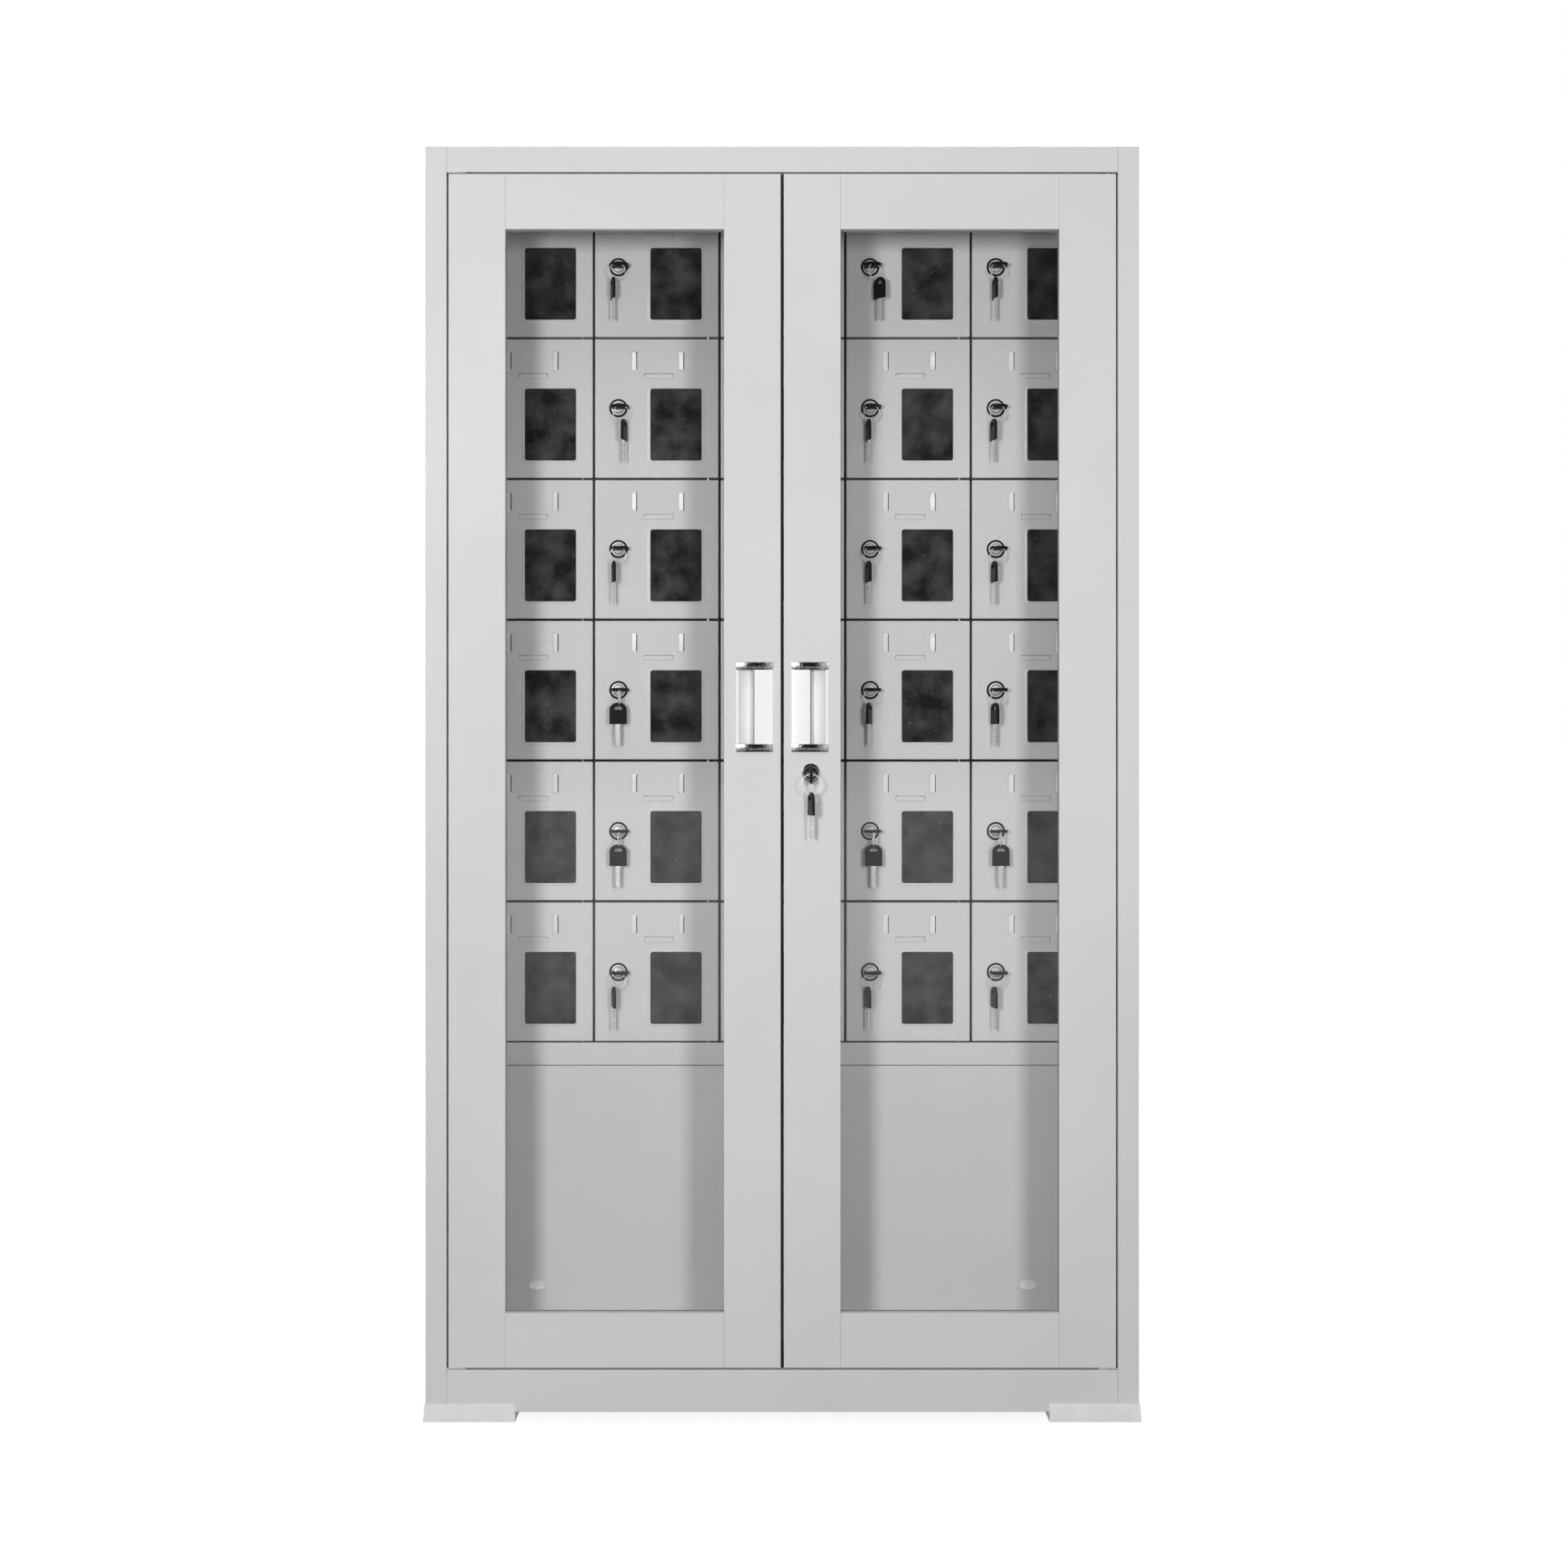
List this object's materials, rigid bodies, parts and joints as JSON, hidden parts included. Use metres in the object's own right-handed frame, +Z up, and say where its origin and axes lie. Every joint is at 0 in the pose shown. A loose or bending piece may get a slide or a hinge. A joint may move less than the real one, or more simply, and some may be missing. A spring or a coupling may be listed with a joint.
{
  "type": "phone locker cabinet",
  "caption": "Free-standing steel cabinet with two framed glass doors and a grid of small keyed phone lockers.",
  "frame": {"origin": "on the floor under the middle of the whole outline", "axes": "+Z up; the glass doors face -Y and +X is to the right of someone facing them"},
  "size_m": [0.906, 0.4396, 1.608],
  "materials": {
    "coat": "satin light grey powder coat",
    "locker_coat": "satin light grey powder coat",
    "foot": "satin powder coat",
    "cap": "moulded, matte",
    "zinc": "zinc plated",
    "catch": "moulded, matte",
    "glass": "clear, polished",
    "strip": "matte grey",
    "handle": "satin with polished ends",
    "chrome": "polished",
    "key": "steel blade in a black moulded bow"
  },
  "bodies": {
    "cabinet": {"side_panel_left": "coat", "side_panel_right": "coat", "top_panel": "coat", "floor_panel": "coat", "plinth_rail": "coat", "back_panel": "coat", "corner_feet": "foot", "blanking_plugs": "cap", "locker_shelves": "coat", "locker_dividers": "coat", "latch_keepers": "coat", "locker_hinge_rods": "zinc", "locker_fillers": "coat", "locker_bottom_rail": "coat", "lower_panel": "coat", "door_pivot_brackets": "zinc", "magnet_catches": "catch"},
    "left_glass_door": {"left_door_frame": "coat", "left_door_glass": "glass", "left_door_glazing_strip": "strip", "left_door_handle": "handle"},
    "right_glass_door": {"right_door_frame": "coat", "right_door_glass": "glass", "right_door_glazing_strip": "strip", "right_door_handle": "handle", "main_lock_barrel": "chrome"},
    "main_lock": {"main_lock_plug": "chrome", "main_key": "key"},
    "spare_key": {"main_spare_key": "key"},
    "locker_r1c1_door": {"locker_door_r1c1": "locker_coat"},
    "locker_r1c2_door": {"locker_door_r1c2": "locker_coat"},
    "locker_r1c3_door": {"locker_door_r1c3": "locker_coat"},
    "locker_r1c4_door": {"locker_door_r1c4": "locker_coat"},
    "locker_r1c5_door": {"locker_door_r1c5": "locker_coat"},
    "locker_r2c1_door": {"locker_door_r2c1": "locker_coat"},
    "locker_r2c2_door": {"locker_door_r2c2": "locker_coat"},
    "locker_r2c3_door": {"locker_door_r2c3": "locker_coat"},
    "locker_r2c4_door": {"locker_door_r2c4": "locker_coat"},
    "locker_r2c5_door": {"locker_door_r2c5": "locker_coat"},
    "locker_r3c1_door": {"locker_door_r3c1": "locker_coat"},
    "locker_r3c2_door": {"locker_door_r3c2": "locker_coat"},
    "locker_r3c3_door": {"locker_door_r3c3": "locker_coat"},
    "locker_r3c4_door": {"locker_door_r3c4": "locker_coat"},
    "locker_r3c5_door": {"locker_door_r3c5": "locker_coat"},
    "locker_r4c1_door": {"locker_door_r4c1": "locker_coat"},
    "locker_r4c2_door": {"locker_door_r4c2": "locker_coat"},
    "locker_r4c3_door": {"locker_door_r4c3": "locker_coat"},
    "locker_r4c4_door": {"locker_door_r4c4": "locker_coat"},
    "locker_r4c5_door": {"locker_door_r4c5": "locker_coat"},
    "locker_r5c1_door": {"locker_door_r5c1": "locker_coat"},
    "locker_r5c2_door": {"locker_door_r5c2": "locker_coat"},
    "locker_r5c3_door": {"locker_door_r5c3": "locker_coat"},
    "locker_r5c4_door": {"locker_door_r5c4": "locker_coat"},
    "locker_r5c5_door": {"locker_door_r5c5": "locker_coat"},
    "locker_r6c1_door": {"locker_door_r6c1": "locker_coat"},
    "locker_r6c2_door": {"locker_door_r6c2": "locker_coat"},
    "locker_r6c3_door": {"locker_door_r6c3": "locker_coat"},
    "locker_r6c4_door": {"locker_door_r6c4": "locker_coat"},
    "locker_r6c5_door": {"locker_door_r6c5": "locker_coat"}
  },
  "joints": [
    {"name": "left_door_hinge", "type": "hinge", "parent": "cabinet", "child": "left_glass_door", "pos_m": [-0.411, -0.17725, 0.82], "axis": [0, 0, -1], "range_deg": [0, 110]},
    {"name": "right_door_hinge", "type": "hinge", "parent": "cabinet", "child": "right_glass_door", "pos_m": [0.411, -0.17725, 0.82], "axis": [0, 0, 1], "range_deg": [0, 110]},
    {"name": "main_lock_turn", "type": "hinge", "parent": "right_glass_door", "child": "main_lock", "pos_m": [0.0362, -0.18325, 0.8183], "axis": [0, 1, 0], "range_deg": [0, 90]},
    {"name": "spare_key_swing", "type": "hinge", "parent": "main_lock", "child": "spare_key", "pos_m": [0.0362, -0.20925, 0.81615], "axis": [1, 0, 0], "range_deg": [-60, 14]},
    {"name": "locker_r1c1_hinge", "type": "hinge", "parent": "cabinet", "child": "locker_r1c1_door", "pos_m": [-0.2705, 0.00775, 1.50275], "axis": [0, 0, 1], "range_deg": [0, 90]},
    {"name": "locker_r1c2_hinge", "type": "hinge", "parent": "cabinet", "child": "locker_r1c2_door", "pos_m": [-0.1005, 0.00775, 1.50275], "axis": [0, 0, 1], "range_deg": [0, 90]},
    {"name": "locker_r1c3_hinge", "type": "hinge", "parent": "cabinet", "child": "locker_r1c3_door", "pos_m": [0.0695, 0.00775, 1.50275], "axis": [0, 0, 1], "range_deg": [0, 90]},
    {"name": "locker_r1c4_hinge", "type": "hinge", "parent": "cabinet", "child": "locker_r1c4_door", "pos_m": [0.2395, 0.00775, 1.50275], "axis": [0, 0, 1], "range_deg": [0, 90]},
    {"name": "locker_r1c5_hinge", "type": "hinge", "parent": "cabinet", "child": "locker_r1c5_door", "pos_m": [0.4095, 0.00775, 1.50275], "axis": [0, 0, 1], "range_deg": [0, 90]},
    {"name": "locker_r2c1_hinge", "type": "hinge", "parent": "cabinet", "child": "locker_r2c1_door", "pos_m": [-0.2705, 0.00775, 1.31225], "axis": [0, 0, 1], "range_deg": [0, 90]},
    {"name": "locker_r2c2_hinge", "type": "hinge", "parent": "cabinet", "child": "locker_r2c2_door", "pos_m": [-0.1005, 0.00775, 1.31225], "axis": [0, 0, 1], "range_deg": [0, 90]},
    {"name": "locker_r2c3_hinge", "type": "hinge", "parent": "cabinet", "child": "locker_r2c3_door", "pos_m": [0.0695, 0.00775, 1.31225], "axis": [0, 0, 1], "range_deg": [0, 90]},
    {"name": "locker_r2c4_hinge", "type": "hinge", "parent": "cabinet", "child": "locker_r2c4_door", "pos_m": [0.2395, 0.00775, 1.31225], "axis": [0, 0, 1], "range_deg": [0, 90]},
    {"name": "locker_r2c5_hinge", "type": "hinge", "parent": "cabinet", "child": "locker_r2c5_door", "pos_m": [0.4095, 0.00775, 1.31225], "axis": [0, 0, 1], "range_deg": [0, 90]},
    {"name": "locker_r3c1_hinge", "type": "hinge", "parent": "cabinet", "child": "locker_r3c1_door", "pos_m": [-0.2705, 0.00775, 1.12175], "axis": [0, 0, 1], "range_deg": [0, 90]},
    {"name": "locker_r3c2_hinge", "type": "hinge", "parent": "cabinet", "child": "locker_r3c2_door", "pos_m": [-0.1005, 0.00775, 1.12175], "axis": [0, 0, 1], "range_deg": [0, 90]},
    {"name": "locker_r3c3_hinge", "type": "hinge", "parent": "cabinet", "child": "locker_r3c3_door", "pos_m": [0.0695, 0.00775, 1.12175], "axis": [0, 0, 1], "range_deg": [0, 90]},
    {"name": "locker_r3c4_hinge", "type": "hinge", "parent": "cabinet", "child": "locker_r3c4_door", "pos_m": [0.2395, 0.00775, 1.12175], "axis": [0, 0, 1], "range_deg": [0, 90]},
    {"name": "locker_r3c5_hinge", "type": "hinge", "parent": "cabinet", "child": "locker_r3c5_door", "pos_m": [0.4095, 0.00775, 1.12175], "axis": [0, 0, 1], "range_deg": [0, 90]},
    {"name": "locker_r4c1_hinge", "type": "hinge", "parent": "cabinet", "child": "locker_r4c1_door", "pos_m": [-0.2705, 0.00775, 0.93125], "axis": [0, 0, 1], "range_deg": [0, 90]},
    {"name": "locker_r4c2_hinge", "type": "hinge", "parent": "cabinet", "child": "locker_r4c2_door", "pos_m": [-0.1005, 0.00775, 0.93125], "axis": [0, 0, 1], "range_deg": [0, 90]},
    {"name": "locker_r4c3_hinge", "type": "hinge", "parent": "cabinet", "child": "locker_r4c3_door", "pos_m": [0.0695, 0.00775, 0.93125], "axis": [0, 0, 1], "range_deg": [0, 90]},
    {"name": "locker_r4c4_hinge", "type": "hinge", "parent": "cabinet", "child": "locker_r4c4_door", "pos_m": [0.2395, 0.00775, 0.93125], "axis": [0, 0, 1], "range_deg": [0, 90]},
    {"name": "locker_r4c5_hinge", "type": "hinge", "parent": "cabinet", "child": "locker_r4c5_door", "pos_m": [0.4095, 0.00775, 0.93125], "axis": [0, 0, 1], "range_deg": [0, 90]},
    {"name": "locker_r5c1_hinge", "type": "hinge", "parent": "cabinet", "child": "locker_r5c1_door", "pos_m": [-0.2705, 0.00775, 0.74075], "axis": [0, 0, 1], "range_deg": [0, 90]},
    {"name": "locker_r5c2_hinge", "type": "hinge", "parent": "cabinet", "child": "locker_r5c2_door", "pos_m": [-0.1005, 0.00775, 0.74075], "axis": [0, 0, 1], "range_deg": [0, 90]},
    {"name": "locker_r5c3_hinge", "type": "hinge", "parent": "cabinet", "child": "locker_r5c3_door", "pos_m": [0.0695, 0.00775, 0.74075], "axis": [0, 0, 1], "range_deg": [0, 90]},
    {"name": "locker_r5c4_hinge", "type": "hinge", "parent": "cabinet", "child": "locker_r5c4_door", "pos_m": [0.2395, 0.00775, 0.74075], "axis": [0, 0, 1], "range_deg": [0, 90]},
    {"name": "locker_r5c5_hinge", "type": "hinge", "parent": "cabinet", "child": "locker_r5c5_door", "pos_m": [0.4095, 0.00775, 0.74075], "axis": [0, 0, 1], "range_deg": [0, 90]},
    {"name": "locker_r6c1_hinge", "type": "hinge", "parent": "cabinet", "child": "locker_r6c1_door", "pos_m": [-0.2705, 0.00775, 0.55025], "axis": [0, 0, 1], "range_deg": [0, 90]},
    {"name": "locker_r6c2_hinge", "type": "hinge", "parent": "cabinet", "child": "locker_r6c2_door", "pos_m": [-0.1005, 0.00775, 0.55025], "axis": [0, 0, 1], "range_deg": [0, 90]},
    {"name": "locker_r6c3_hinge", "type": "hinge", "parent": "cabinet", "child": "locker_r6c3_door", "pos_m": [0.0695, 0.00775, 0.55025], "axis": [0, 0, 1], "range_deg": [0, 90]},
    {"name": "locker_r6c4_hinge", "type": "hinge", "parent": "cabinet", "child": "locker_r6c4_door", "pos_m": [0.2395, 0.00775, 0.55025], "axis": [0, 0, 1], "range_deg": [0, 90]},
    {"name": "locker_r6c5_hinge", "type": "hinge", "parent": "cabinet", "child": "locker_r6c5_door", "pos_m": [0.4095, 0.00775, 0.55025], "axis": [0, 0, 1], "range_deg": [0, 90]}
  ]
}
